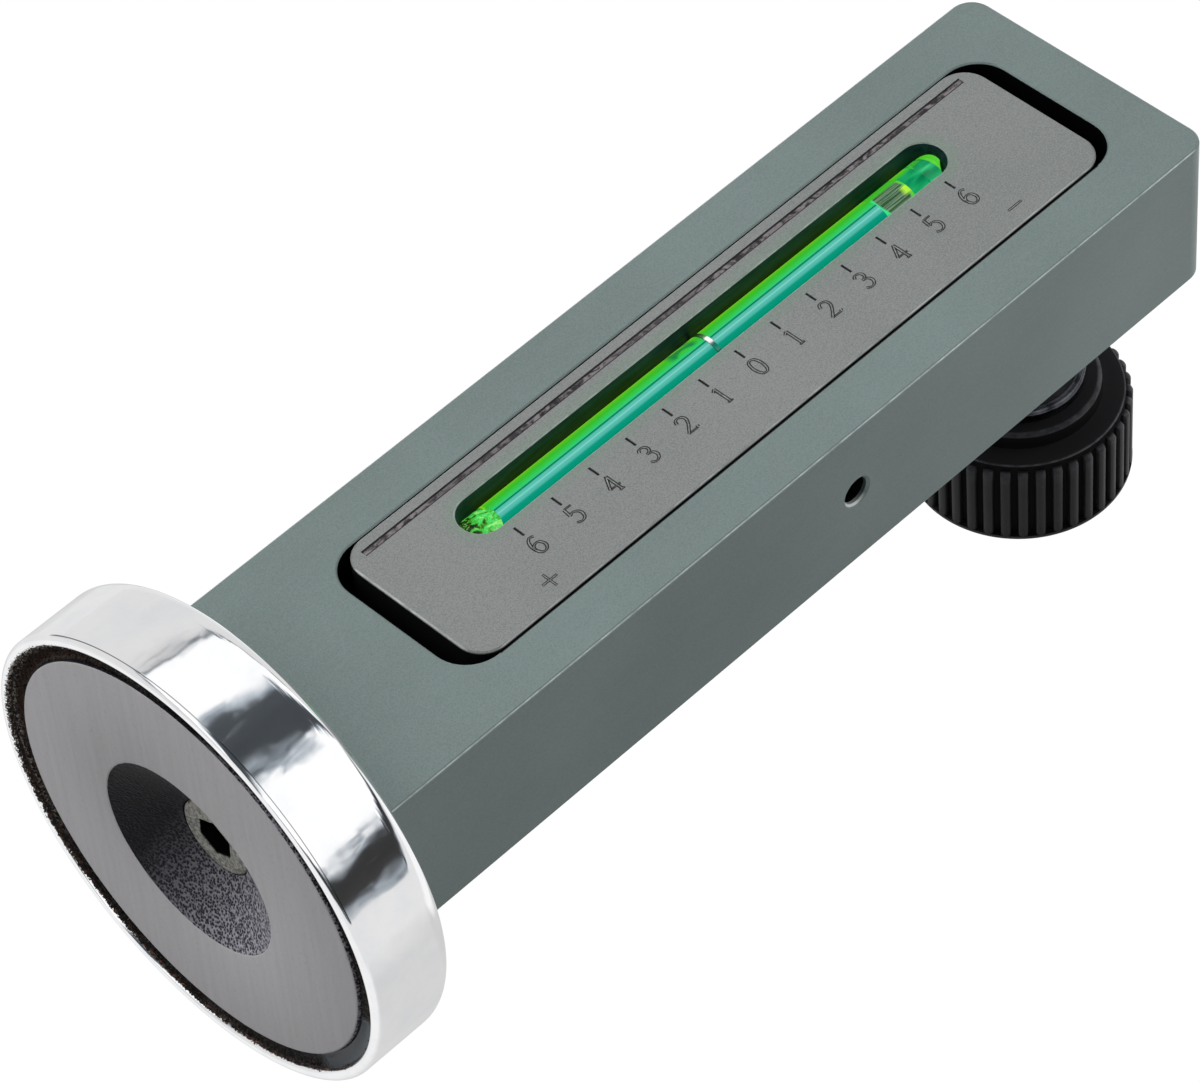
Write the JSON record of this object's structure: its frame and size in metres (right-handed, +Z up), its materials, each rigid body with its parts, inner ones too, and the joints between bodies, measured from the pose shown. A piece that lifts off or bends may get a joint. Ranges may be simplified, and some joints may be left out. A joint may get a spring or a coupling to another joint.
{
  "type": "camber gauge",
  "caption": "Magnetic camber gauge: a metal bar with a tilting spirit vial and graduated scale, a pot magnet on its end and a spring-loaded zeroing knob underneath.",
  "frame": {"origin": "centre of the magnet's working face, on the plane of the cup's rim", "axes": "+X along the bar, away from the magnet; +Z up, through the vial window; the knob hangs below"},
  "size_m": [0.1249, 0.05, 0.0647],
  "materials": {
    "body_metal": "satin grey-green anodised",
    "rocker_metal": "bead-blasted neutral grey",
    "cup_chrome": "bright plated",
    "magnet_ceramic": "ground ceramic ferrite, dark as fired in the bore",
    "bond_resin": "rough black resin",
    "fastener_steel": "plated steel",
    "pin_steel": "ground steel",
    "spring_steel": "drawn wire",
    "washer_steel": "blackened steel",
    "vial_clear": "clear",
    "vial_plug": "lime translucent",
    "vial_liquid": "green tinted liquid",
    "vial_bubble": "air",
    "bed_resin": "green-lit bedding resin",
    "index_black": "black ring",
    "knob_plastic": "satin black moulded plastic"
  },
  "bodies": {
    "bar": {"body": "body_metal", "magnet_cup": "cup_chrome", "ring_magnet": "magnet_ceramic", "magnet_bond": "bond_resin", "magnet_screw": "fastener_steel", "pivot_pin": "pin_steel", "return_spring": "spring_steel", "knob_spring": "spring_steel"},
    "rocking_bar": {"rocker": "rocker_metal", "screw_pad": "pin_steel", "vial_tube": "vial_clear", "near_plug": "vial_plug", "far_plug": "vial_plug", "vial_liquid": "vial_liquid", "vial_bed": "bed_resin", "index_ring": "index_black"},
    "bubble": {"vial_bubble": "vial_bubble"},
    "lift": {"thrust_washer": "washer_steel"},
    "knob_and_screw": {"knob": "knob_plastic", "adjusting_screw": "fastener_steel"}
  },
  "joints": [
    {"name": "knob_lift", "type": "slide", "parent": "bar", "child": "lift", "axis": [0, 0, 1], "range_m": [-0.002, 0.002], "deforming": ["knob_spring"]},
    {"name": "knob_turn", "type": "hinge", "parent": "lift", "child": "knob_and_screw", "pos_m": [0.11307, 0, -0.0271], "axis": [0, 0, 1], "range_deg": [-905, 905]},
    {"name": "rocker_tilt", "type": "hinge", "parent": "bar", "child": "rocking_bar", "pos_m": [0.07272, 0, 0.00055], "axis": [0, -1, 0], "range_deg": [-2.86, 2.86], "deforming": ["return_spring"]},
    {"name": "bubble_travel", "type": "slide", "parent": "rocking_bar", "child": "bubble", "axis": [1, 0, 0], "range_m": [-0.0522, 0.0015], "deforming": ["vial_liquid"]}
  ],
  "couplings": [
    {"joint": "knob_turn", "follows": "knob_lift", "rad_per_m": 7854},
    {"joint": "rocker_tilt", "follows": "knob_lift", "rad_per_m": 24.786}
  ]
}
